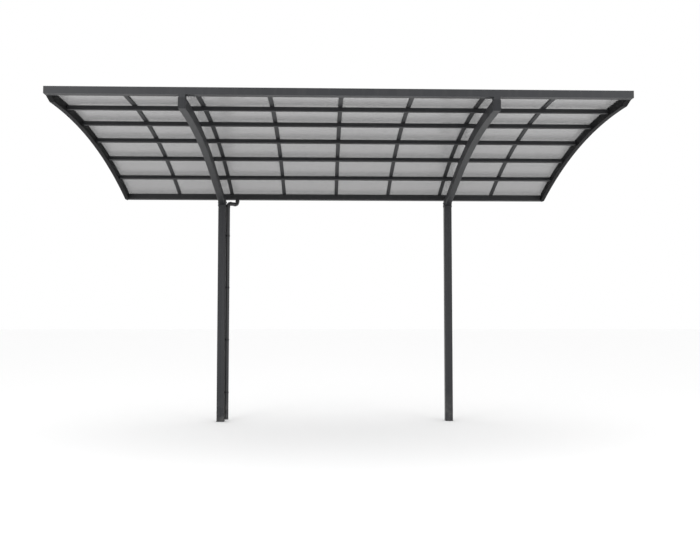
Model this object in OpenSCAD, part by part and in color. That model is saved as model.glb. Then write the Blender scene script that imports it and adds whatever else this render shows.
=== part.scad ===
// Cantilever carport: two rear posts carry two curved arms, and the arms carry
// a curved roof of purlins, rafters and smoke-grey sheets that drains to a rear gutter.
// X runs along the roof's length, +Y points to the rear and +Z is up.
// The origin is the middle of the left post's foot, at ground level.

/* [Roof] */
// Length of the roof over the outer faces of its side frames
roof_l = 5500; // [3600:10:7200]
// Radius of the roof's curve, measured to the middle of the purlins
roof_r = 8816; // [7000:1:12000]
// Slope of the roof where it meets the gutter, in degrees
rear_slope = 19.2; // [16:0.1:22]
// Height of the roof's curve at the gutter over the posts' tops
eave_rise = 163; // [130:1:260]
// Distance from the posts' middle back to the gutter's front face
eave_back = 80; // [70:1:260]
// How far the roof's middle lies to the right of the middle between the posts
roof_shift = 12; // [-300:1:300]

/* [Purlins and rafters] */
// Side of the square purlins
purlin_w = 40; // [30:1:60]
// Wall of the purlins
purlin_wall = 2.5; // [1.5:0.1:5]
// Spacing of the purlins along the curve
purlin_pitch = 563; // [420:1:600]
// Distance along the curve from the gutter to the last purlin
rear_bay = 533; // [400:1:600]
// Distance along the curve from the first purlin to the middle of the front beam
front_bay = 569; // [450:1:760]
// Width of the rafters
rafter_w = 40; // [30:1:60]
// Height of the rafters
rafter_h = 12; // [8:0.5:20]
// Width of the web that stands up between two sheets
web_w = 8; // [4:0.5:12]
// Gap left at a sheet's edge so that it can grow in the heat
sheet_gap = 4; // [2:0.5:8]
// Thickness of the roof sheets
sheet_t = 3; // [2:0.5:10]
// Height of the cover strips over the rafters
cover_h = 7; // [4:0.5:12]
// How far the sheets reach over the gutter
sheet_over = 36; // [20:1:60]

/* [Side frames] */
// Width of the side frames
side_w = 45; // [35:1:80]
// How far a side frame reaches below the middle of the purlins
side_drop = 47; // [30:1:80]
// Wall of the side frames
side_wall = 3; // [2:0.1:5]
// Depth of the groove that holds the sheet's edge
groove_d = 14; // [10:1:20]
// Length of the slanting cut at a side frame's front end
side_mitre = 110; // [60:1:200]

/* [Front beam] */
// Depth of the front beam, front to rear
beam_d = 80; // [60:1:120]
// Height of the front beam's face
beam_h = 68; // [50:1:120]
// Height of the beam's top over the middle of the purlins' curve
beam_rise = 59; // [20:1:80]
// Wall of the front beam
beam_wall = 3; // [2:0.1:5]
// Thickness of the upstand that closes the sheets' front edge
upstand_t = 10; // [6:1:20]
// Thickness of the beam's end caps
beam_cap_t = 25; // [3:0.5:40]

/* [Gutter] */
// Depth of the gutter, front to rear
gutter_d = 100; // [80:1:160]
// Height of the gutter
gutter_h = 71; // [55:1:120]
// Wall of the gutter
gutter_wall = 2.5; // [1.5:0.1:5]
// Height of the lower, deeper part of the gutter's front
gutter_step_h = 30; // [15:1:40]
// Depth of the step in the gutter's front
gutter_step_d = 8; // [4:1:16]
// Thickness of the gutter's end caps
gutter_cap_t = 9; // [4:0.5:16]
// How far the end caps stand proud of the gutter all round
gutter_cap_lip = 4; // [2:0.5:8]

/* [Posts] */
// Distance between the middles of the two posts
post_spacing = 2935; // [2400:5:4000]
// Width of a post, along the roof's length
post_w = 95; // [80:1:140]
// Depth of a post, front to rear
post_d = 110; // [90:1:160]
// Height of a post
post_h = 2749; // [2200:1:3300]
// Wall of a post
post_wall = 4; // [3:0.1:8]
// Rounding of a post's corners
post_round = 9; // [4:0.5:14]
// Width of the groove down the middle of each face
line_w = 6; // [3:0.5:10]
// Depth of the groove down the middle of each face
line_d = 1.5; // [0.5:0.1:2.5]

/* [Arms] */
// Width of an arm, along the roof's length
arm_w = 72; // [50:1:80]
// Depth of an arm from its underside to its top
arm_d = 105; // [90:1:150]
// Wall of an arm
arm_wall = 4; // [3:0.1:8]
// Rounding of an arm's edges
arm_round = 5; // [2:0.5:8]
// How much larger the radius of an arm's underside is than the roof's
arm_flatter = 144; // [-200:1:400]
// Slope of the straight stretch by the post, in degrees
arm_slope = 13.75; // [11:0.05:16]
// Length of the straight stretch, from the post's front face
arm_straight = 918; // [600:1:1200]
// Reach of an arm, from the post's front face to its front end
arm_reach = 3198; // [2600:5:3400]
// Thickness of the cap on an arm's front end
arm_cap_t = 5; // [3:0.5:10]

/* [Post heads] */
// Height from the post's top to the arm's underside, at the post's front face
throat = 31; // [20:1:80]
// Rounding of the head's rear upper corner
head_round = 70; // [30:1:90]
// Thickness of the head's wall behind the arm
head_back = 12; // [8:1:20]
// Height of the shadow gap between post and head
shadow_h = 6.5; // [2:0.5:12]
// Depth of the shadow gap
shadow_d = 6; // [1:0.5:8]

/* [Cleats] */
// Width of a cleat, along the roof's length
cleat_w = 26; // [20:1:60]
// Depth of a cleat's plates
cleat_d = 44; // [30:1:60]
// Thickness of a cleat's plates
cleat_t = 5; // [3:0.5:8]
// Thickness of the web between a cleat's plates
cleat_web = 8; // [4:0.5:12]

/* [Downpipe] */
// Outer diameter of the downpipe
pipe_dia = 48; // [40:1:60]
// Wall of the downpipe
pipe_wall = 2; // [1.5:0.1:4]
// Bend radius of the elbows, to the pipe's middle
elbow_r = 38; // [32:1:60]
// Distance from the left post's middle to the outlet under the gutter
outlet_x = 182; // [150:1:400]
// Distance from the gutter's underside down to the middle of the short run
run_drop = 65; // [60:1:150]
// Distance of the downpipe's middle behind the post's middle
pipe_back = 8; // [-20:1:20]
// Height of the downpipe's open end above the ground
pipe_foot = 20; // [10:1:100]
// How far the collars of the elbows stand out
collar_t = 2.5; // [1:0.5:4]
// Length of the collars of the elbows
collar_l = 16; // [8:1:20]
// Thickness of the clips that hold the downpipe
clip_t = 2; // [1:0.5:2.5]
// Width of the clips' feet on the post
clip_foot = 20; // [12:1:30]
// Height of the clips
clip_h = 22; // [10:1:40]
// Number of clips
clips = 4; // [2:1:6]

/* [Fits] */
// Clearance where two curved pieces lie on each other
fit = 0.3; // [0.2:0.1:0.6]

/* [Hidden] */

metal = "#3d3e41";
metal_light = "#4a4a4e";
metal_dark = "#2b2b2d";
smoke = "#9a9a9b";
plastic = "#333437";

// Steps of a full circle for the long arcs and for small rounds
arc_steps = 720;
round_steps = 48;
degree_mm = PI / 180;

// Each purlin, rafter and sheet is a node of its own, so their numbers are fixed
purlins = 5;
bays = 8;

// Ends of the roof and the rafters' spacing
roof_x0 = post_spacing / 2 + roof_shift - roof_l / 2;
roof_x1 = roof_x0 + roof_l;
rafter_pitch = (roof_l - side_w) / bays;

// The roof's curve turns about a line along X through this point
eave_h = post_h + eave_rise;
axis_y = eave_back - roof_r * sin(rear_slope);
axis_z = eave_h - roof_r * cos(rear_slope);

// Radii of the layers that lie on the purlins
rafter_r0 = roof_r + purlin_w / 2 + fit;
rafter_r1 = rafter_r0 + rafter_h;
sheet_r0 = rafter_r1 + fit;
sheet_r1 = sheet_r0 + sheet_t;
cover_r0 = sheet_r1 + fit;
cover_r1 = cover_r0 + cover_h;

// Angle from upright of a point on an arc, and of each purlin
function angle_at(radius, y) = asin((y - axis_y) / radius);
function purlin_angle(i) = rear_slope - (rear_bay + (purlins - i) * purlin_pitch) / (roof_r * degree_mm);

// Height at y of an arc about the roof's axis
function arc_z(radius, y) = axis_z + sqrt(pow(radius, 2) - pow(y - axis_y, 2));
function roof_top(y) = arc_z(cover_r1, y);

// Front beam
beam_angle = purlin_angle(1) - front_bay / (roof_r * degree_mm);
beam_y = axis_y + roof_r * sin(beam_angle);
beam_y0 = beam_y - beam_d / 2;
beam_y1 = beam_y + beam_d / 2;
beam_z1 = arc_z(roof_r + beam_rise, beam_y1);
upstand_z = max(beam_z1, roof_top(beam_y1));

// Gutter
gutter_z1 = arc_z(sheet_r0, eave_back + gutter_step_d + gutter_wall) - 2 * fit;
gutter_z0 = gutter_z1 - gutter_h;

// The arm's curve turns about a line along X through this point
arm_r = roof_r + arm_flatter;
arm_y0 = -post_d / 2;
arm_z0 = post_h + throat;
arm_turn_y = arm_y0 - arm_straight * cos(arm_slope) - arm_r * sin(arm_slope);
arm_turn_z = arm_z0 + arm_straight * sin(arm_slope) - arm_r * cos(arm_slope);
arm_front_angle = asin((arm_y0 - arm_reach - arm_turn_y) / arm_r);
arm_end_y = post_d / 2 - head_back;

// Downpipe
run_h = gutter_z0 - run_drop;
pipe_gap = collar_t + fit;
pipe_x = post_w / 2 + pipe_gap + pipe_dia / 2;
gutter_mid_y = eave_back + gutter_d / 2;
run_dx = outlet_x - pipe_x;
run_dy = gutter_mid_y - pipe_back;
run_l = sqrt(run_dx * run_dx + run_dy * run_dy);
run_turn = atan2(run_dy, run_dx);

// Rectangle with round corners, about its middle
module round_rect(w, d, r) {
    square([w - 2 * r, d], center = true);
    square([w, d - 2 * r], center = true);
    for (x = [-1, 1], y = [-1, 1])
        translate([x * (w / 2 - r), y * (d / 2 - r)]) circle(r = r, $fn = round_steps);
}

// Turns a profile about the line along X through (y, z), from one angle to another.
// The profile's x is the distance from that line and its y points to -X.
module turn_about(y, z, from, to) {
    translate([0, y, z])
        rotate([0, -90, 0])
            rotate([0, 0, from])
                rotate_extrude(angle = to - from, $fn = arc_steps) children();
}

// Keeps what lies between two upright planes across the roof
module between(y0, y1) {
    intersection() {
        children();
        translate([roof_x0 - roof_l, y0, 0]) cube([3 * roof_l, y1 - y0, 2 * eave_h]);
    }
}

// A profile carried along the roof's curve at x, cut square between two planes.
// It turns from one whole degree to another, so that its steps meet at the crown.
module along_roof(x, y0, y1) {
    between(y0, y1)
        translate([x, 0, 0])
            turn_about(axis_y, axis_z, floor(angle_at(roof_r, y0)) - 1, ceil(angle_at(roof_r, y1)) + 2)
                children();
}

// A bar with a cross section in Y and Z, from x0 to x1
module along_x(x0, x1) {
    translate([x0, 0, 0]) rotate([90, 0, 90]) linear_extrude(x1 - x0) children();
}

module post_outline() {
    difference() {
        round_rect(post_w, post_d, post_round);
        for (s = [-1, 1]) {
            translate([0, s * post_d / 2]) square([line_w, 2 * line_d], center = true);
            translate([s * post_w / 2, 0]) square([2 * line_d, line_w], center = true);
        }
    }
}

module post(x) {
    color(metal)
        translate([x, 0, 0])
            linear_extrude(post_h)
                difference() {
                    post_outline();
                    round_rect(post_w - 2 * post_wall, post_d - 2 * post_wall, post_round - post_wall);
                }
}

// Side view of the head: upright on the post, sloped along the arm's top, round behind
module head_side() {
    top_front = arm_z0 + arm_d / cos(arm_slope);
    top_rear = top_front - post_d * tan(arm_slope);
    difference() {
        polygon([
            [-post_d / 2, post_h + shadow_h],
            [post_d / 2, post_h + shadow_h],
            [post_d / 2, top_rear],
            [-post_d / 2, top_front]
        ]);
        difference() {
            translate([post_d / 2 - head_round, top_rear - head_round])
                square([2 * head_round, 2 * head_round]);
            translate([post_d / 2 - head_round, top_rear - head_round])
                circle(r = head_round, $fn = 96);
        }
    }
}

// The head is a fork: a cheek on each side of the arm, a back wall and a block under the arm
module post_head(x) {
    tuck = 1;
    color(metal) {
        difference() {
            along_x(x - post_w / 2, x + post_w / 2) head_side();
            translate([x - arm_w / 2 - fit, -post_d, 0])
                cube([arm_w + 2 * fit, post_d + arm_end_y + fit, 2 * post_h]);
        }
        along_x(x - arm_w / 2 - tuck, x + arm_w / 2 + tuck)
            polygon([
                [-post_d / 2, post_h + shadow_h],
                [post_d / 2 - tuck, post_h + shadow_h],
                [post_d / 2 - tuck, arm_z0 - post_d * tan(arm_slope)],
                [-post_d / 2, arm_z0]
            ]);
        translate([x - post_w / 2 + shadow_d, -post_d / 2 + shadow_d, post_h])
            cube([post_w - 2 * shadow_d, post_d - 2 * shadow_d, shadow_h]);
    }
}

// The arm's section, standing off its underside at radius r
module arm_section(r) {
    translate([r + arm_d / 2, 0])
        difference() {
            round_rect(arm_d, arm_w, arm_round);
            round_rect(arm_d - 2 * arm_wall, arm_w - 2 * arm_wall, 1);
        }
}

module arm(x) {
    color(metal_light)
        translate([x, 0, 0]) {
            turn_about(arm_turn_y, arm_turn_z, max(arm_front_angle, 0), arm_slope) arm_section(arm_r);
            if (arm_front_angle < 0)
                turn_about(arm_turn_y, arm_turn_z, arm_front_angle, 0) arm_section(arm_r);
            intersection() {
                translate([0, arm_turn_y, arm_turn_z])
                    rotate([-arm_slope, 0, 0])
                        translate([0, 0, arm_r])
                            rotate([0, -90, 0])
                                rotate([-90, 0, 0])
                                    linear_extrude(arm_straight + 2 * post_d)
                                        mirror([0, 1]) arm_section(0);
                translate([-arm_w, -2 * post_h, 0]) cube([2 * arm_w, 2 * post_h + arm_end_y, 2 * post_h]);
            }
        }
}

module arm_cap(x) {
    cap_turn = arm_cap_t / (arm_r * degree_mm);
    color(metal_light)
        translate([x, 0, 0])
            turn_about(arm_turn_y, arm_turn_z, arm_front_angle - cap_turn, arm_front_angle)
                translate([arm_r + arm_d / 2, 0]) round_rect(arm_d, arm_w, arm_round);
}

// One upright between the arm's top and purlin i, square to the arm
module cleat_side(i) {
    tilt = purlin_angle(i);
    seat_r = roof_r - purlin_w / 2 - fit;
    seat_y = axis_y + seat_r * sin(tilt);
    seat_z = axis_z + seat_r * cos(tilt);
    lean = min(atan2(seat_y - arm_turn_y, seat_z - arm_turn_z), arm_slope);
    h = (seat_y - arm_turn_y) * sin(lean) + (seat_z - arm_turn_z) * cos(lean) - arm_r - arm_d - fit;
    translate([seat_y, seat_z]) {
        rotate(-tilt) translate([-cleat_d / 2, -cleat_t]) square([cleat_d, cleat_t]);
        rotate(-lean) {
            translate([-cleat_web / 2, -h + cleat_t / 2]) square([cleat_web, h - cleat_t]);
            translate([-cleat_d / 2, -h]) square([cleat_d, cleat_t]);
        }
    }
}

// The packer that fills the gap between the arm's top and the front beam
module packer_side() {
    top_r = arm_r + arm_d + fit;
    polygon([
        [beam_y0, arm_turn_z + sqrt(pow(top_r, 2) - pow(beam_y0 - arm_turn_y, 2))],
        [beam_y1, arm_turn_z + sqrt(pow(top_r, 2) - pow(beam_y1 - arm_turn_y, 2))],
        [beam_y1, beam_z1 - beam_h],
        [beam_y0, beam_z1 - beam_h]
    ]);
}

module cleats() {
    packer_w = arm_w - 2 * arm_round;
    color(metal)
        for (x = [0, post_spacing]) {
            along_x(x - packer_w / 2, x + packer_w / 2) packer_side();
            for (i = [1 : purlins])
                along_x(x - cleat_w / 2, x + cleat_w / 2) cleat_side(i);
        }
}

module front_beam_side() {
    difference() {
        union() {
            translate([beam_y0, beam_z1 - beam_h]) square([beam_d, beam_h]);
            translate([beam_y1 - upstand_t, beam_z1 - beam_h]) square([upstand_t, upstand_z - beam_z1 + beam_h]);
        }
        translate([beam_y0 + beam_wall, beam_z1 - beam_h + beam_wall])
            square([beam_d - 2 * beam_wall, beam_h - 2 * beam_wall]);
    }
}

module front_beam() {
    color(metal_light) along_x(roof_x0 + beam_cap_t, roof_x1 - beam_cap_t) front_beam_side();
}

module front_beam_cap(x) {
    color(metal)
        along_x(x, x + beam_cap_t) {
            translate([beam_y0, beam_z1 - beam_h]) square([beam_d, beam_h]);
            translate([beam_y1 - upstand_t, beam_z1 - beam_h]) square([upstand_t, upstand_z - beam_z1 + beam_h]);
        }
}

// The gutter's walls stand on its floor. Its front steps back, and its top is open.
module gutter_bar() {
    color(metal) along_x(roof_x0 + gutter_cap_t, roof_x1 - gutter_cap_t) children();
}

module gutter_front() {
    z0 = gutter_z0 + gutter_wall;
    step_z = gutter_z0 + gutter_step_h;
    gutter_bar() {
        translate([eave_back, z0]) square([gutter_wall, step_z - z0]);
        translate([eave_back, step_z - gutter_wall]) square([gutter_step_d + gutter_wall, gutter_wall]);
        translate([eave_back + gutter_step_d, step_z - gutter_wall])
            square([gutter_wall, gutter_z1 - step_z + gutter_wall]);
    }
}

module gutter_floor() {
    difference() {
        gutter_bar() translate([eave_back, gutter_z0]) square([gutter_d, gutter_wall]);
        translate([outlet_x, gutter_mid_y, gutter_z0 - 1])
            cylinder(d = pipe_dia - 2 * pipe_wall, h = gutter_wall + 2, $fn = 96);
    }
}

module gutter_back() {
    gutter_bar()
        translate([eave_back + gutter_d - gutter_wall, gutter_z0 + gutter_wall])
            square([gutter_wall, gutter_h - gutter_wall]);
}

module gutter_cap(x) {
    y0 = eave_back - gutter_cap_lip;
    y1 = eave_back + gutter_d + gutter_cap_lip;
    lid_y = eave_back + sheet_over + gutter_cap_lip;
    color(metal_dark)
        along_x(x, x + gutter_cap_t)
            polygon([
                [y0, gutter_z0 - gutter_cap_lip],
                [y1, gutter_z0 - gutter_cap_lip],
                [y1, max(gutter_z1, roof_top(lid_y))],
                [lid_y, max(gutter_z1, roof_top(lid_y))],
                [y0, roof_top(y0)]
            ]);
}

// A side frame's section with a groove for the sheet, and the hollow inside it.
// The inner face lies at the section's larger x, and side is 1 on the left.
module side_section(side) {
    r0 = roof_r - side_drop;
    mirror([0, side > 0 ? 1 : 0])
        difference() {
            translate([r0, 0]) square([cover_r1 - r0, side_w]);
            translate([sheet_r0 - fit, side_w - groove_d])
                square([sheet_t + 2 * fit, groove_d + 1]);
        }
}

module side_hollow(side) {
    r0 = roof_r - side_drop + side_wall;
    mirror([0, side > 0 ? 1 : 0])
        translate([r0, side_wall])
            square([sheet_r0 - 2 * side_wall - r0, side_w - 2 * side_wall]);
}

// The frame's front end is solid, and cut on a slant up to the beam's underside
module side_frame(x, side) {
    under_z = beam_z1 - beam_h;
    low_z = arc_z(roof_r - side_drop, beam_y1 + side_mitre);
    color(metal)
        difference() {
            along_roof(x, beam_y1, eave_back - gutter_cap_lip) side_section(side);
            along_roof(x, beam_y1 + side_mitre, eave_back) side_hollow(side);
            along_x(x - 2 * side_w, x + 2 * side_w)
                polygon([
                    [beam_y1 - 1, under_z],
                    [beam_y1, under_z],
                    [beam_y1 + side_mitre, min(under_z, low_z)],
                    [beam_y1 + side_mitre, low_z - side_drop],
                    [beam_y1 - 1, low_z - side_drop]
                ]);
        }
}

module purlin(i) {
    color(metal_dark)
        along_x(roof_x0 + side_w, roof_x1 - side_w)
            translate([axis_y, axis_z])
                rotate(-purlin_angle(i))
                    translate([0, roof_r])
                        difference() {
                            square(purlin_w, center = true);
                            square(purlin_w - 2 * purlin_wall, center = true);
                        }
}

function rafter_x(i) = roof_x0 + side_w / 2 + i * rafter_pitch;

module rafter(i) {
    color(metal_dark)
        along_roof(rafter_x(i), beam_y1, eave_back) {
            translate([rafter_r0, -rafter_w / 2]) square([rafter_h, rafter_w]);
            translate([rafter_r0, -web_w / 2]) square([sheet_r1 - rafter_r0, web_w]);
        }
}

module rafter_covers() {
    edge = cover_h / 2;
    color(metal)
        for (i = [1 : bays - 1])
            along_roof(rafter_x(i), beam_y1, eave_back + sheet_over)
                polygon([
                    [cover_r0, -rafter_w / 2],
                    [cover_r0 + cover_h - edge, -rafter_w / 2],
                    [cover_r1, -rafter_w / 2 + edge],
                    [cover_r1, rafter_w / 2 - edge],
                    [cover_r0 + cover_h - edge, rafter_w / 2],
                    [cover_r0, rafter_w / 2]
                ]);
}

module sheet(i) {
    half_web = web_w / 2 + sheet_gap;
    x0 = i == 1 ? roof_x0 + side_w - groove_d + sheet_gap / 2 : rafter_x(i - 1) + half_web;
    x1 = i == bays ? roof_x1 - side_w + groove_d - sheet_gap / 2 : rafter_x(i) - half_web;
    color(smoke, 0.7)
        along_roof(x1, beam_y1 + fit, eave_back + sheet_over)
            translate([sheet_r0, 0]) square([sheet_t, x1 - x0]);
}

module tube_ring(d) {
    difference() {
        circle(d = d, $fn = 96);
        circle(d = pipe_dia - 2 * pipe_wall, $fn = 96);
    }
}

// A quarter bend of round stuff that enters along -Z at the origin's corner and leaves along +X
module bend(d) {
    translate([elbow_r, 0, elbow_r])
        rotate([90, 0, 0])
            rotate([0, 0, 180])
                rotate_extrude(angle = 90, $fn = 192) translate([elbow_r, 0]) circle(d = d, $fn = 96);
}

// The bend with a collar at each end, bored through, and a plain stub above the upright collar
module elbow(stub) {
    bore = pipe_dia - 2 * pipe_wall;
    difference() {
        union() {
            bend(pipe_dia);
            translate([0, 0, elbow_r]) cylinder(d = pipe_dia + 2 * collar_t, h = collar_l, $fn = 96);
            translate([elbow_r, 0, 0])
                rotate([0, 90, 0]) cylinder(d = pipe_dia + 2 * collar_t, h = collar_l, $fn = 96);
            if (stub > 0)
                translate([0, 0, elbow_r + collar_l]) cylinder(d = pipe_dia, h = stub, $fn = 96);
        }
        bend(bore);
        translate([0, 0, elbow_r]) cylinder(d = bore, h = collar_l + 2 * stub + 1, $fn = 96);
        translate([elbow_r, 0, 0]) rotate([0, 90, 0]) cylinder(d = bore, h = collar_l + 1, $fn = 96);
    }
}

module outlet_elbow() {
    color(plastic)
        translate([outlet_x, gutter_mid_y, run_h])
            rotate([0, 0, run_turn + 180]) elbow(run_drop - elbow_r - collar_l);
}

module post_elbow() {
    color(plastic)
        translate([pipe_x, pipe_back, run_h])
            rotate([0, 0, run_turn]) mirror([0, 0, 1]) elbow(0);
}

module pipe_run() {
    color(plastic)
        translate([pipe_x, pipe_back, run_h])
            rotate([0, 0, run_turn])
                translate([elbow_r + collar_l, 0, 0])
                    rotate([0, 90, 0]) linear_extrude(run_l - 2 * elbow_r - 2 * collar_l) tube_ring(pipe_dia);
}

module downpipe() {
    color(plastic)
        translate([pipe_x, pipe_back, pipe_foot])
            linear_extrude(run_h - elbow_r - collar_l - pipe_foot) tube_ring(pipe_dia);
}

module pipe_clips() {
    clip_pitch = (run_h - 2 * elbow_r - 2 * pipe_foot) / clips;
    color(metal_dark)
        for (i = [1 : clips])
            translate([pipe_x, pipe_back, (i - 0.5) * clip_pitch + pipe_foot])
                linear_extrude(clip_h)
                    difference() {
                        union() {
                            circle(d = pipe_dia + 2 * clip_t, $fn = 96);
                            translate([-pipe_dia / 2 - pipe_gap, -clip_foot / 2])
                                square([pipe_gap + clip_t, clip_foot]);
                        }
                        circle(d = pipe_dia + 2 * fit, $fn = 96);
                    }
}

post(0);  // left_post
post(post_spacing);  // right_post
post_head(0);  // left_post_head
post_head(post_spacing);  // right_post_head
arm(0);  // left_arm
arm(post_spacing);  // right_arm
arm_cap(0);  // left_arm_cap
arm_cap(post_spacing);  // right_arm_cap
cleats();
front_beam();
front_beam_cap(roof_x0);  // front_beam_left_cap
front_beam_cap(roof_x1 - beam_cap_t);  // front_beam_right_cap
gutter_front();
gutter_floor();
gutter_back();
gutter_cap(roof_x0);  // gutter_left_cap
gutter_cap(roof_x1 - gutter_cap_t);  // gutter_right_cap
side_frame(roof_x0, 1);  // left_side_frame
side_frame(roof_x1, -1);  // right_side_frame
for (i = [1 : purlins])
    purlin(i);
for (i = [1 : bays - 1])
    rafter(i);
rafter_covers();
for (i = [1 : bays])
    sheet(i);
outlet_elbow();
pipe_run();
post_elbow();
downpipe();
pipe_clips();
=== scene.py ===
# %% [markdown]
# # A cantilever carport
#
# The metal frame, the roof sheets, the gutter and the pipes come ready-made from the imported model, each in its
# exact place. This lesson gives them their finishes and adds what is too small to be a part of its own: bolts,
# screws, rubber seals and the bead of sealant round each post. Everything is in metres, with +X along the roof,
# +Y to the rear and +Z up.

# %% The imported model
import math

import bpy
import numpy as np
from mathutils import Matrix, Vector


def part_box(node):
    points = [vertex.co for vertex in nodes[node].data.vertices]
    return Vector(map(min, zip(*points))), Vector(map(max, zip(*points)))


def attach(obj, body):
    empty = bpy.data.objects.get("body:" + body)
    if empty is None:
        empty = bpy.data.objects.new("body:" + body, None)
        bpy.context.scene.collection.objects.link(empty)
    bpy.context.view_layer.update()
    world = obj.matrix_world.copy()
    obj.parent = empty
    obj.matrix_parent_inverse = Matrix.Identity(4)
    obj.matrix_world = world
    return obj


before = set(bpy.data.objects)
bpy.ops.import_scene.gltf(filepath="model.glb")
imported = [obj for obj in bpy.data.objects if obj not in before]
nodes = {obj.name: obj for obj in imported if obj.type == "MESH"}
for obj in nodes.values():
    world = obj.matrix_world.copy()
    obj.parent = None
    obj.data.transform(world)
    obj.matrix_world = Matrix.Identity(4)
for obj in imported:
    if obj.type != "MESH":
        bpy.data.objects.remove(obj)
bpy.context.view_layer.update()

# %% [markdown]
# ## The viewpoint
#
# Pictures of a shelter are usually taken from its open side, at the height of a person's chest, from far enough
# away that the roof's front edge stays nearly level. The camera is set first, because everything later is judged
# through it.

# %% Camera
camera_data = bpy.data.cameras.new("camera")
camera_data.sensor_width = 36.0
camera_data.lens = 44.23
camera_data.clip_start = 0.05
camera_data.clip_end = 300.0
camera = bpy.data.objects.new("camera", camera_data)
camera.location = (1.312, -11.155, 1.318)
camera.rotation_euler = (math.radians(93.268), 0.0, math.radians(-1.779))
bpy.context.scene.collection.objects.link(camera)
bpy.context.scene.camera = camera
print("camera at", tuple(round(v, 3) for v in camera.location))

# %% [markdown]
# ## A plain studio
#
# A dark frame under a translucent roof reads best in front of white. The sky is a plain white dome, the floor is a
# pale matt sheet that sends light up under the roof, and two large soft lamps in front give the beam and the posts
# a slightly brighter front than side. Nothing in the studio has a pattern, so every mark that shows belongs to the
# object.

# %% Floor, sky and lamps
def studio_floor(half, height):
    """A square of side 2 * half at the given height, facing up."""
    corners = half * np.array([[-1, -1], [1, -1], [1, 1], [-1, 1]], float)
    mesh = bpy.data.meshes.new("studio_floor")
    mesh.from_pydata([(x, y, height) for x, y in corners.tolist()], [], [(0, 1, 2, 3)])
    floor = bpy.data.objects.new("studio_floor", mesh)
    bpy.context.scene.collection.objects.link(floor)
    return floor


def lamp(name, size, power, place, towards):
    """A square area lamp of the given size, aimed from one point at another."""
    data = bpy.data.lights.new(name, "AREA")
    data.size = size
    data.energy = power
    lamp_object = bpy.data.objects.new(name, data)
    lamp_object.location = place
    lamp_object.rotation_euler = (Vector(towards) - Vector(place)).to_track_quat("-Z", "Y").to_euler()
    bpy.context.scene.collection.objects.link(lamp_object)


floor = studio_floor(90.0, -0.002)
lamp("front_left_lamp", 5.0, 260.0, (-4.5, -9.0, 5.5), (1.0, -1.5, 1.8))
lamp("front_right_lamp", 5.0, 160.0, (7.5, -8.0, 4.5), (2.0, -1.5, 1.8))
world = bpy.data.worlds.new("white_sky")
bpy.context.scene.world = world
world.use_nodes = True
world.node_tree.nodes["Background"].inputs["Color"].default_value = (1.0, 1.0, 1.0, 1.0)
world.node_tree.nodes["Background"].inputs["Strength"].default_value = 1.0
bpy.context.scene.view_settings.view_transform = "Standard"

# %% [markdown]
# ## Shader maths in plain Python
#
# A finish is a network of nodes, and long networks are hard to read. The small class below wraps one output
# socket, so that an expression such as `1 - mask * 0.3` adds its own Math nodes. One method adds any other node:
# its kind, its settings and what goes into its sockets. Colours are mixed by a Mix node, because a Math node
# would turn them grey.

# %% Wire and Finish
class Wire:
    """One output socket, with arithmetic that adds Math nodes."""

    def __init__(self, finish, socket):
        self.finish, self.socket = finish, socket

    def _sum(self, operation, first, second=None):
        return self.finish.node("ShaderNodeMath", {"operation": operation}, {0: first, 1: second})

    def __add__(self, other):
        return self._sum("ADD", self, other)

    __radd__ = __add__

    def __sub__(self, other):
        return self._sum("SUBTRACT", self, other)

    def __rsub__(self, other):
        return self._sum("SUBTRACT", other, self)

    def __mul__(self, other):
        return self._sum("MULTIPLY", self, other)

    __rmul__ = __mul__

    def sine(self):
        return self._sum("SINE", self)

    def spread(self, low, high, to_low=0.0, to_high=1.0):
        """Maps low..high onto to_low..to_high, and stops at both ends."""
        return self.finish.node(
            "ShaderNodeMapRange", {"interpolation_type": "SMOOTHSTEP"},
            {"Value": self, "From Min": low, "From Max": high, "To Min": to_low, "To Max": to_high},
        )


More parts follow.
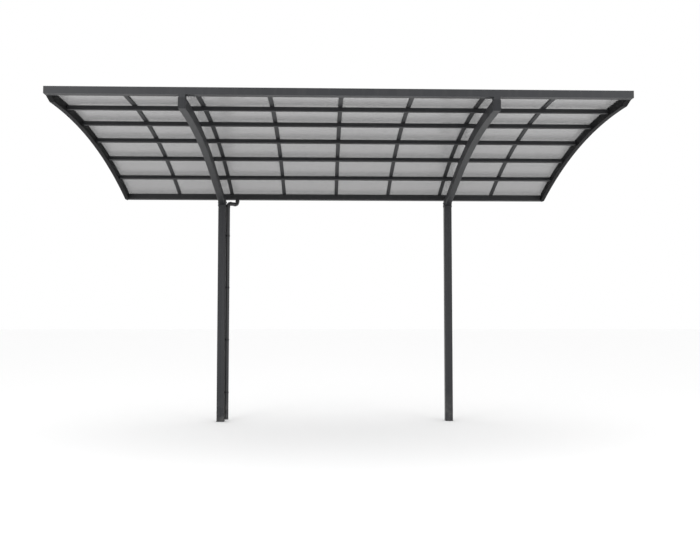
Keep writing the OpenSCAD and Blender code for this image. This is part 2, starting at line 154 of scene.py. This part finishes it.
class Finish:
    """A material being built, with its surface shader and one method that adds any node."""

    def __init__(self, name, **constants):
        self.material = bpy.data.materials.new(name)
        self.material.use_nodes = True
        self.tree = self.material.node_tree
        self.surface = self.tree.nodes["Principled BSDF"]
        for socket, value in constants.items():
            self.surface.inputs[socket.replace("_", " ")].default_value = value

    def node(self, kind, settings=None, inputs=None, out=0):
        made = self.tree.nodes.new(kind)
        for key, value in (settings or {}).items():
            setattr(made, key, value)
        by_id = {socket.identifier: socket for socket in made.inputs}
        for key, value in (inputs or {}).items():
            socket = by_id.get(key) or made.inputs[key]
            self.feed(socket, value)
        by_id = {socket.identifier: socket for socket in made.outputs}
        return Wire(self, by_id.get(out) or made.outputs[out])

    def feed(self, socket, value):
        if isinstance(value, Wire):
            self.tree.links.new(value.socket, socket)
        elif value is not None:
            socket.default_value = value

    def noise(self, scale, detail=2.0, stretch=(1.0, 1.0, 1.0), roughness=0.5):
        """Noise on the piece's own place in metres, drawn out along an axis where stretch is small."""
        place = self.node("ShaderNodeTexCoord", out="Object")
        drawn = self.node("ShaderNodeMapping", None, {"Vector": place, "Scale": stretch})
        return self.node(
            "ShaderNodeTexNoise", None, {"Vector": drawn, "Scale": scale, "Detail": detail, "Roughness": roughness}
        )

    def axis(self, name):
        place = self.node("ShaderNodeTexCoord", out="Object")
        return self.node("ShaderNodeSeparateXYZ", None, {"Vector": place}, out=name)

    def facing(self, name):
        normal = self.node("ShaderNodeNewGeometry", out="Normal")
        return self.node("ShaderNodeSeparateXYZ", None, {"Vector": normal}, out=name)

    def tint(self, factor, first, second):
        """Goes from the first colour to the second as factor goes from 0 to 1."""
        return self.node(
            "ShaderNodeMix", {"data_type": "RGBA"},
            {"Factor_Float": factor, "A_Color": first, "B_Color": second}, out="Result_Color",
        )

    def relief(self, height, distance, strength=1.0):
        bump = self.node("ShaderNodeBump", None, {"Height": height, "Distance": distance, "Strength": strength})
        self.feed(self.surface.inputs["Normal"], bump)

    def set(self, **sockets):
        for name, value in sockets.items():
            self.feed(self.surface.inputs[name.replace("_", " ")], value)
        return self


print("Wire and Finish are ready")

# %% [markdown]
# ## Powder coat on aluminium
#
# The frame is extruded aluminium with a satin anthracite powder coat. Powder coat melts into a skin with a fine
# orange peel a millimetre or so across, and it holds tiny lighter flecks. Outdoors it gathers pale dust on the
# faces that look up, faint streaks where rain runs down, and splashes near the ground. One function makes the
# finish in a given shade. The whole frame wears one coat: the frame and the beam get its own tone, and the darker
# shades given to the arms, the long bars, the side frames and the gutter are painted shade for the shadow under the
# roof.

# %% Powder coat
DUST = (0.33, 0.32, 0.30, 1.0)


def grey(shade, red, green, blue):
    """A grey of the given shade, leaned towards a hue by a factor for each channel."""
    return (shade * red, shade * green, shade * blue, 1.0)


def powder_coat(name, shade, gloss=0.42, dust=0.22, shine=0.30):
    """Base colour = shade, made a little lighter by flecks and clouds, then tinted with dust by slope and height."""
    finish = Finish(name, Metallic=0.0, Specular_IOR_Level=shine)
    deep, pale = grey(shade, 0.83, 0.87, 0.97), grey(shade, 1.15, 1.19, 1.32)
    clouds = finish.noise(1.7, 4.0)
    flecks = finish.noise(900.0, 1.0).spread(0.62, 0.72)
    streaks = finish.noise(22.0, 3.0, (1.0, 1.0, 0.035)).spread(0.48, 0.68)
    patches = finish.noise(9.0, 5.0, roughness=0.62).spread(0.42, 0.66)
    looks_up = finish.facing("Z").spread(0.35, 0.95)
    near_ground = finish.axis("Z").spread(0.02, 0.42, 1.0, 0.0)
    colour = finish.tint(clouds * 0.75 + flecks * 0.4, deep, pale)
    dirt = looks_up * patches * dust + looks_up * (dust * 0.35) + near_ground * patches * 0.16 + streaks * 0.018
    colour = finish.tint(dirt, colour, DUST)
    peel = finish.noise(620.0, 2.0) + finish.noise(2400.0, 1.0) * 0.25
    finish.relief(peel, 0.00035, 0.35)
    finish.set(Base_Color=colour, Roughness=gloss + clouds * 0.10 + dirt * 0.8 + streaks * 0.05)
    return finish.material


frame_coat = powder_coat("frame_coat", 0.027)
beam_coat = powder_coat("beam_coat", 0.027)
# The arm, bar, side and gutter coats are darker copies of the one coat: painted shade.
arm_coat_painted_shade = powder_coat("arm_coat_painted_shade", 0.020, shine=0.22)
bar_coat_painted_shade = powder_coat("bar_coat_painted_shade", 0.017, gloss=0.5)
side_coat_painted_shade = powder_coat("side_coat_painted_shade", 0.006, gloss=0.55, shine=0.12)
gutter_coat_painted_shade = powder_coat("gutter_coat_painted_shade", 0.016, gloss=0.5)
print("powder coats:", sum("coat" in m.name for m in bpy.data.materials))

# %% [markdown]
# ## Smoke-grey roof sheets
#
# The sheets are translucent plastic, tinted grey through and through, with faint bands along their width from the
# tool that extruded them. A closed sheet has two faces, so light from behind passes the shader twice, and about a
# fifth of it comes through. Alpha holds the tint, the base colour gives the milky part that scatters, and dust lies
# in soft patches on top.

# %% Smoke sheet
def smoke_sheet(name):
    """Alpha is a little over a half. Bands along X, a sine of Y plus noise drawn out along X, vary it slightly."""
    band_pitch = 0.06
    finish = Finish(name, Metallic=0.0, Specular_IOR_Level=0.45)
    lines = finish.noise(55.0, 1.0, (0.004, 1.0, 1.0))
    bands = (finish.axis("Y") * (2 * math.pi / band_pitch)).sine() * 0.5 + 0.5
    clouds = finish.noise(1.3, 3.0)
    patches = finish.noise(11.0, 5.0, roughness=0.6).spread(0.45, 0.7)
    looks_up = finish.facing("Z").spread(0.3, 0.9)
    film = looks_up * patches * 0.10
    colour = finish.tint(clouds * 0.5 + bands * 0.2, (0.205, 0.203, 0.205, 1.0), (0.245, 0.242, 0.245, 1.0))
    finish.set(
        Base_Color=finish.tint(film, colour, DUST),
        Alpha=0.552 + lines * 0.012 + bands * 0.028 + film * 0.4 + clouds * 0.01,
        Roughness=0.20 + clouds * 0.08 + film * 2.0,
    )
    finish.relief(bands + lines * 0.2, 0.0001, 0.2)
    return finish.material


sheet_finish = smoke_sheet("sheet_finish")
print("sheet finish ready")

# %% [markdown]
# ## Plastics, rubber and steel
#
# The downpipe is extruded plastic with faint lines along its length, and its elbows and the end caps are moulded,
# with a fine even grain. The seals are soft black rubber, the sealant is a glossy bead, and the fasteners are
# steel with a black coating that has worn through in small scattered spots.

# %% Plastics, rubber and steel
def drawn_plastic(name, shade):
    """Satin plastic with fine lines along Z: noise drawn out fifty times in that direction."""
    finish = Finish(name, Specular_IOR_Level=0.45)
    lines = finish.noise(260.0, 2.0, (1.0, 1.0, 0.02))
    clouds = finish.noise(4.0, 3.0)
    splash = finish.axis("Z").spread(0.02, 0.5, 1.0, 0.0) * finish.noise(14.0, 5.0).spread(0.45, 0.62)
    deep, pale = grey(shade, 0.85, 0.87, 0.95), grey(shade, 1.2, 1.22, 1.34)
    colour = finish.tint(clouds * 0.8 + lines * 0.2, deep, pale)
    finish.set(Base_Color=finish.tint(splash * 0.16, colour, DUST), Roughness=0.36 + lines * 0.08 + splash * 0.2)
    finish.relief(lines, 0.0003, 0.3)
    return finish.material


def moulded_plastic(name, shade, grain=1500.0, gloss=0.5):
    """Matt plastic whose grain is a fine cell pattern."""
    finish = Finish(name, Specular_IOR_Level=0.4)
    place = finish.node("ShaderNodeTexCoord", out="Object")
    cells = finish.node("ShaderNodeTexVoronoi", None, {"Vector": place, "Scale": grain})
    clouds = finish.noise(12.0, 4.0)
    dust = finish.facing("Z").spread(0.4, 0.95) * finish.noise(20.0, 4.0).spread(0.4, 0.65)
    colour = finish.tint(clouds, grey(shade, 0.8, 0.82, 0.86), grey(shade, 1.25, 1.26, 1.3))
    finish.set(Base_Color=finish.tint(dust * 0.2, colour, DUST), Roughness=gloss + clouds * 0.14)
    finish.relief(cells, 0.0002, 0.35)
    return finish.material


def black_steel(name):
    """Black-coated steel: bare bright metal shows through where a fine noise is highest."""
    finish = Finish(name, Specular_IOR_Level=0.5)
    worn = finish.noise(240.0, 5.0, roughness=0.7).spread(0.60, 0.72)
    clouds = finish.noise(60.0, 3.0)
    coating = finish.tint(clouds, (0.016, 0.016, 0.018, 1.0), (0.035, 0.035, 0.038, 1.0))
    finish.set(
        Base_Color=finish.tint(worn * 0.7, coating, (0.33, 0.32, 0.31, 1.0)),
        Metallic=0.35 + worn * 0.6,
        Roughness=0.34 + clouds * 0.16,
    )
    finish.relief(clouds + worn * -0.5, 0.0001, 0.4)
    return finish.material


def soft_rubber(name, shade, gloss):
    """Nearly black, with a bloom of paler grey in soft clouds."""
    finish = Finish(name, Specular_IOR_Level=0.35)
    bloom = finish.noise(18.0, 5.0).spread(0.45, 0.75)
    finish.set(
        Base_Color=finish.tint(bloom * 0.5, (shade, shade, shade, 1.0), (shade * 3, shade * 3, shade * 2.9, 1.0)),
        Roughness=gloss + bloom * 0.12,
    )
    finish.relief(finish.noise(700.0, 2.0), 0.0002, 0.4)
    return finish.material


pipe_finish = drawn_plastic("pipe_finish", 0.024)
elbow_finish = moulded_plastic("elbow_finish", 0.026, 900.0, 0.42)
cap_finish = moulded_plastic("cap_finish", 0.024)
fastener_finish = black_steel("fastener_finish")
seal_finish = soft_rubber("seal_finish", 0.006, 0.62)
sealant_finish = soft_rubber("sealant_finish", 0.012, 0.34)
print("finishes:", len(bpy.data.materials))

# %% [markdown]
# ## Dressing the imported pieces
#
# A imported piece keeps its mesh and its place, and only its material slots change. Which finish a piece gets
# follows from its name.

# %% Finishes for the imported pieces
# Purlins, rafters, pipe clips, side frames, gutter and arms get the darker coats, which are painted shade.
FINISH_OF = {
    "sheet_": sheet_finish,
    "purlin_": bar_coat_painted_shade,
    "rafter_covers": frame_coat,
    "rafter_": bar_coat_painted_shade,
    "left_side_frame": side_coat_painted_shade,
    "right_side_frame": side_coat_painted_shade,
    "front_beam_": cap_finish,
    "front_beam": beam_coat,
    "gutter_left_cap": cap_finish,
    "gutter_right_cap": cap_finish,
    "gutter_": gutter_coat_painted_shade,
    "left_arm": arm_coat_painted_shade,
    "right_arm": arm_coat_painted_shade,
    "outlet_elbow": elbow_finish,
    "post_elbow": elbow_finish,
    "pipe_run": pipe_finish,
    "downpipe": pipe_finish,
    "pipe_clips": bar_coat_painted_shade,
    "left_post": frame_coat,
    "right_post": frame_coat,
    "cleats": frame_coat,
}

for node_name, node_object in nodes.items():
    finish = next(FINISH_OF[key] for key in FINISH_OF if node_name.startswith(key))
    node_object.data.materials.clear()
    node_object.data.materials.append(finish)
print("dressed:", len(nodes))

floor_finish = Finish("floor_finish", Base_Color=(0.97, 0.97, 0.97, 1.0), Roughness=0.9, Specular_IOR_Level=0.1)
floor.data.materials.append(floor_finish.material)

# %% [markdown]
# ## Surfaces from arrays
#
# Every new piece is a stack of rings: a ring is the same number of points going once round, and a skin joins each
# ring to the next. Bolts, washers, seals and sealant are all of this kind. The rings are computed as whole arrays,
# so a formula stays visible, and one shape can be set down in many places by a single multiplication.

# %% A skin over rings
def skin(name, rings, finish, looped=False):
    """Joins rings, an array (copies, rings, points, 3), into one mesh.

    Point p of ring r joins to point p + 1 and to ring r + 1. A looped skin joins its last ring to its first, and
    any other one gets a flat face on each end. The signed volume, the sum of a . (b x c) / 6 over its triangles,
    is negative where the faces point inwards, and they are then turned round.
    """
    rings = np.asarray(rings, float)
    copies, m, n, _ = rings.shape
    r, p = np.meshgrid(np.arange(m if looped else m - 1), np.arange(n), indexing="ij")
    r2, p2 = (r + 1) % m, (p + 1) % n
    quads = np.stack([r * n + p, r2 * n + p, r2 * n + p2, r * n + p2], -1).reshape(-1, 4)
    ends = [] if looped else [np.arange(n), np.arange(m * n - 1, (m - 1) * n - 1, -1)]
    fans = [np.stack([np.full(n - 2, e[0]), e[1:-1], e[2:]], 1) for e in ends]
    triangles = np.concatenate([quads[:, [0, 1, 2]], quads[:, [0, 2, 3]], *fans])
    a, b, c = rings[0].reshape(-1, 3)[triangles].transpose(1, 0, 2)
    if np.einsum("ij,ij->", a, np.cross(b, c)) < 0:
        quads, ends = quads[:, ::-1], [e[::-1] for e in ends]
    steps = np.arange(copies)[:, None, None] * (m * n)
    faces = (quads[None] + steps).reshape(-1, 4).tolist()
    for e in ends:
        faces += (e[None, None] + steps).reshape(-1, n).tolist()
    mesh = bpy.data.meshes.new(name)
    mesh.from_pydata(rings.reshape(-1, 3).tolist(), [], faces)
    mesh.polygons.foreach_set("use_smooth", np.ones(len(mesh.polygons), bool))
    mesh.set_sharp_from_angle(angle=math.radians(32))
    mesh.materials.append(finish)
    piece = bpy.data.objects.new(name, mesh)
    bpy.context.scene.collection.objects.link(piece)
    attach(piece, "root")
    print(f"{name}: {copies} of {m} rings, {len(faces)} faces")
    return piece


def set_down(rings, origins, out, across):
    """Copies one shape, (rings, points, 3), to k origins. Its z points along out and its x along across."""
    out, across = np.asarray(out, float), np.asarray(across, float)
    turns = np.stack([across, np.cross(out, across), out], -1)
    return np.einsum("kij,rpj->krpi", turns, rings) + np.asarray(origins, float)[:, None, None, :]


def stack(radii, heights, points, flats=None):
    """Rings about z: each has a radius and a height. Where flats isn't None, a ring's radius at angle t becomes
    the smaller of its own and a hexagon's, (flats / 2) / cos(t - nearest multiple of 60 degrees)."""
    t = np.arange(points) * 2 * np.pi / points
    radii = np.broadcast_to(np.asarray(radii, float)[:, None], (len(radii), points)).copy()
    if flats is not None:
        edge = t - np.round(t / (np.pi / 3)) * np.pi / 3
        for ring, across_flats in enumerate(flats):
            if across_flats:
                radii[ring] = np.minimum(radii[ring], across_flats / 2 / np.cos(edge))
    z = np.broadcast_to(np.asarray(heights, float)[:, None], radii.shape)
    return np.stack([radii * np.cos(t), radii * np.sin(t), z], -1)


# %% [markdown]
# ## Bolts through the post heads
#
# Each head is a fork that grips the arm, and two bolts go through each cheek. A hexagon head sits on a round
# washer. The shape is a stack of rings: the washer's two, and then the head's, whose radius is cut off at six
# flats and again by a small chamfer on top.

# %% Head bolts
def hex_bolt(flats, height, washer_d, washer_t):
    """A washer and a hexagon head with a chamfered top, standing on z = 0."""
    corner, bevel = flats / 2 / math.cos(math.pi / 6), flats * 0.06
    radii = [washer_d / 2, washer_d / 2, washer_d / 2 - washer_t * 0.4, corner, corner, corner - bevel, corner * 0.72]
    heights = [0, washer_t * 0.6, washer_t, washer_t, washer_t + height - bevel, washer_t + height, washer_t + height]
    return stack(radii, heights, 24, [0, 0, 0, flats, flats, flats * 1.02, 0])


bolt = hex_bolt(0.019, 0.0075, 0.026, 0.0025)
origins, outs = [], []
for head in ("left_post_head", "right_post_head"):
    low, high = (np.array(c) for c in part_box(head))
    for side, x in ((-1, low[0]), (1, high[0])):
        for z in (low[2] + 0.032, low[2] + 0.067):
            origins.append((x, (low[1] + high[1]) / 2, z))
            outs.append((side, 0, 0))
skin("head_bolts", set_down(bolt, origins, outs, [(0, 0, 1)] * len(outs)), fastener_finish)

# %% [markdown]
# ## The roof's curve, measured
#
# Seals and screws have to follow the curved bars exactly. Rather than repeat the curve's numbers, this measures
# them: a circle through many points is a linear fit, because y * y + z * z is a plane over y and z.

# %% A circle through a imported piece
def node_points(name):
    mesh = nodes[name].data
    points = np.empty(len(mesh.vertices) * 3)
    mesh.vertices.foreach_get("co", points)
    return points.reshape(-1, 3)


def circle_of(points):
    """Least squares for y^2 + z^2 = 2 a y + 2 b z + c: the centre is (a, b) and the radius sqrt(c + a^2 + b^2)."""
    y, z = points[:, 1], points[:, 2]
    (a, b, c), *_ = np.linalg.lstsq(np.stack([2 * y, 2 * z, np.ones_like(y)], 1), y * y + z * z, rcond=None)
    return a, b, math.sqrt(c + a * a + b * b)


roof_y, roof_z, _ = circle_of(node_points("sheet_4"))


def radii_of(name):
    """The least and greatest distance of a piece's points from the roof's own axis."""
    points = node_points(name)
    r = np.hypot(points[:, 1] - roof_y, points[:, 2] - roof_z)
    return r.min(), r.max()


sheet_low, sheet_high = radii_of("sheet_4")
cover_low, cover_high = radii_of("rafter_covers")
print("axis", round(roof_y, 4), round(roof_z, 4), "sheet", round(sheet_low, 4), round(sheet_high, 4))

# %% [markdown]
# ## Seals along the sheets
#
# A strip of rubber closes the gap between each sheet and the cover above it, and another lies on each rafter under
# the sheet. Only a lip of a few millimetres shows. A strip is a small closed outline carried along the roof's
# curve: its rings differ only in their angle.

# %% Strips along the curve
def strips(name, outlines, y_from, y_to):
    """Each outline is an array (points, 2) of x and radius. The ring at angle t has y = roof_y + r sin t and
    z = roof_z + r cos t, and t runs so that y goes from y_from to y_to."""
    outlines = np.asarray(outlines, float)
    radius = outlines[0, :, 1].mean()
    first, last = (math.asin((y - roof_y) / radius) for y in (y_from, y_to))
    t = np.linspace(first, last, 61)[None, :, None]
    x, r = outlines[:, None, :, 0], outlines[:, None, :, 1]
    rings = np.stack(np.broadcast_arrays(x, roof_y + r * np.sin(t), roof_z + r * np.cos(t)), -1)
    return skin(name, rings, seal_finish)


def lip(x, side, radius, reach, height):
    """A lip that leaves x towards side: five points, thick at the root and thin at the tip."""
    return [
        (x - side * 0.001, radius), (x + side * reach * 0.8, radius), (x + side * reach, radius + height * 0.35),
        (x + side * reach * 0.7, radius + height * 0.8), (x - side * 0.001, radius + height),
    ]


rafters = [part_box(f"rafter_{i}") for i in range(1, 8)]
front_y, eave_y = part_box("sheet_4")[0][1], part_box("sheet_4")[1][1]
rafter_end = rafters[0][1][1]
lip_h = 0.0025
edges = [(low[0] if side < 0 else high[0], side) for low, high in rafters for side in (-1, 1)]
cover_lips = [lip(x, side, sheet_high, 0.003, lip_h) for x, side in edges]
rafter_lips = [lip(x, side, sheet_low - lip_h, 0.0025, lip_h) for x, side in edges]
strips("cover_seals", cover_lips, front_y, eave_y)
strips("rafter_seals", rafter_lips, front_y, rafter_end)

# %% [markdown]
# ## Screws in the covers
#
# Each cover is held down at the purlins by pan-head screws with a sealing washer. The dome is a quarter of an
# ellipse, and a socket is sunk into its middle.

# %% Cover screws
def pan_screw(head_d, head_h, washer_d, washer_t):
    """Washer, dome r = R cos t, z = H sin t, and a six-sided socket, standing on z = 0."""
    t = np.radians([0, 30, 55, 72])
    radii = [washer_d / 2, washer_d / 2 - washer_t * 0.3, *(head_d / 2 * np.cos(t)), head_d * 0.2, head_d * 0.2]
    heights = [0, washer_t, *(washer_t + head_h * np.sin(t)), washer_t + head_h * 0.95, washer_t + head_h * 0.35]
    flats = [0] * (len(radii) - 2) + [head_d * 0.36] * 2
    return stack(radii, heights, 12, flats)


def on_curve(radius, angle, x):
    return np.stack(np.broadcast_arrays(x, roof_y + radius * np.sin(angle), roof_z + radius * np.cos(angle)), -1)


purlin_middles = [(np.array(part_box(f"purlin_{i}")[0]) + np.array(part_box(f"purlin_{i}")[1])) / 2 for i in range(1, 6)]
purlin_angles = np.array([math.atan2(c[1] - roof_y, c[2] - roof_z) for c in purlin_middles])
rafter_middles = np.array([(low[0] + high[0]) / 2 for low, high in rafters])
x, angle = (a.ravel() for a in np.meshgrid(rafter_middles, purlin_angles, indexing="ij"))
outs = on_curve(1.0, angle, 0.0 * x) - np.array([0, roof_y, roof_z])
screw = pan_screw(0.0095, 0.0022, 0.014, 0.0012)
screws = set_down(screw, on_curve(cover_high, angle, x), outs, [(1, 0, 0)] * len(outs))
skin("cover_screws", screws, fastener_finish)

# %% [markdown]
# ## Screws in the cleats
#
# A cleat is bolted down to its arm and up to its purlin. The arm's slope isn't known here, so a ray is sent down
# from each purlin: where it meets the arm, it gives both the point and the slope.

# %% Cleat screws
arm_points, arm_outs, purlin_points, purlin_outs, alongs = [], [], [], [], []
plate, bolt_offset, purlin_half, clearance = 0.005, 0.0135, 0.0203, 0.0003
for arm_name in ("left_arm", "right_arm"):
    arm_low, arm_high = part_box(arm_name)
    arm_x = (arm_low[0] + arm_high[0]) / 2
    for middle, angle_here in zip(purlin_middles, purlin_angles):
        up = np.array([0.0, math.sin(angle_here), math.cos(angle_here)])
        start = np.array([arm_x, middle[1], middle[2]]) - up * purlin_half
        hit, spot, normal, _ = nodes[arm_name].ray_cast(Vector(start), Vector(-up))
        normal = np.array(normal)
        foot = start - normal * ((start - np.array(spot)) @ normal)
        across_arm, across_roof = np.cross(normal, (1, 0, 0)), np.cross(up, (1, 0, 0))
        for side in (-1, 1):
            arm_points.append(foot + normal * (plate + clearance) + across_arm * side * bolt_offset)
            arm_outs.append(normal)
            alongs.append((1, 0, 0))
            purlin_points.append(start - up * plate + across_roof * side * bolt_offset)
            purlin_outs.append(-up)
cleat_bolt = hex_bolt(0.010, 0.005, 0.015, 0.0012)
bolts = set_down(cleat_bolt, arm_points + purlin_points, arm_outs + purlin_outs, alongs * 2)
skin("cleat_bolts", bolts, fastener_finish)

# %% [markdown]
# ## Sealant round the posts
#
# Each post goes straight into the ground. A thin bead of sealant closes the joint so that water can't run down
# beside the metal. It is a small rounded outline carried once round the post's outline, whose corners are arcs.

# %% Sealant beads
def bead(name, low, high, corner, width, height):
    """Rings round a rectangle with round corners: at angle t the middle is the corner's centre plus r (cos t,
    sin t), and the outline lies in the plane of (cos t, sin t) and z."""
    quarter = np.linspace(0, np.pi / 2, 7)
    t = np.concatenate([quarter + k * np.pi / 2 for k in range(4)])
    signs = np.repeat([(1, 1), (-1, 1), (-1, -1), (1, -1)], len(quarter), 0)
    half = (np.array(high[:2]) - np.array(low[:2])) / 2 - corner
    centre = (np.array(high[:2]) + np.array(low[:2])) / 2
    towards = np.stack([np.cos(t), np.sin(t)], -1)
    outline = np.array(
        [(-0.001, 0), (width, 0), (width * 0.9, height * 0.45), (width * 0.4, height * 0.9), (-0.001, height)]
    )
    flat = (centre + signs * half)[:, None] + towards[:, None] * (corner + outline[None, :, :1])
    rings = np.concatenate([flat, np.broadcast_to(outline[None, :, 1:], (len(t), len(outline), 1))], -1)
    return skin(name, rings[None], sealant_finish, looped=True)


for post in ("left_post", "right_post"):
    bead(f"{post}_sealant", *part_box(post), 0.009, 0.004, 0.004)

# %% [markdown]
# ## The outlet's flange
#
# Under the gutter a moulded flange holds the outlet in its hole. It is a short outline turned about the pipe's
# axis.

# %% Outlet flange
def turned_ring(name, centre, outline, finish, points=48):
    """Carries an outline of radius and height once round a vertical axis."""
    t = (np.arange(points) * 2 * np.pi / points)[:, None]
    outline = np.asarray(outline, float)
    r, z = outline[None, :, 0], outline[None, :, 1]
    rings = np.stack(np.broadcast_arrays(centre[0] + r * np.cos(t), centre[1] + r * np.sin(t), centre[2] + z), -1)
    return skin(name, rings[None], finish, looped=True)


outlet = node_points("outlet_elbow")
top_ring = outlet[outlet[:, 2] > outlet[:, 2].max() - 1e-4]
top_middle = (top_ring.min(0) + top_ring.max(0)) / 2
pipe_r = (top_ring[:, 0].max() - top_ring[:, 0].min()) / 2
flange = np.array([(0, 0), (0.014, 0), (0.014, -0.002), (0.012, -0.003), (0.004, -0.0035), (0, -0.008)])
turned_ring("outlet_flange", top_middle, flange + (pipe_r, 0), elbow_finish)
